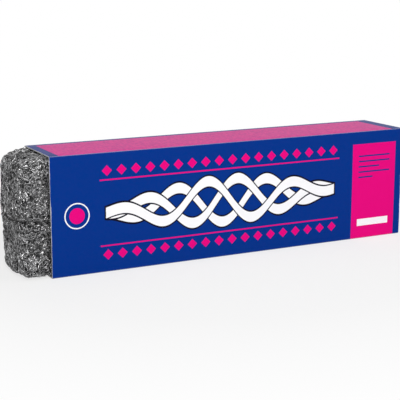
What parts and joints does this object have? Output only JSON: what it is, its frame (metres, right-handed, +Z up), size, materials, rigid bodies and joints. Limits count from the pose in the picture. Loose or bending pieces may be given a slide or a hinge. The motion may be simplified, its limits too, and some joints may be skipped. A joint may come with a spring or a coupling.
{
  "type": "steel wool pad",
  "caption": "Oblong pad of curly steel wool in an open-ended printed card sleeve, its rounded end standing out of the sleeve; for scouring and smoothing.",
  "frame": {"origin": "on the surface that the pack stands on, under the middle of the whole pack", "axes": "+X along the length, from the end where the wool stands out to the other end; -Y towards the front panel; +Z up"},
  "size_m": [0.258, 0.043, 0.07],
  "materials": {
    "printed_card": "satin",
    "steel_wool": "matte"
  },
  "bodies": {
    "root": {"card_sleeve": "printed_card", "wool_pad": "steel_wool"}
  },
  "joints": []
}
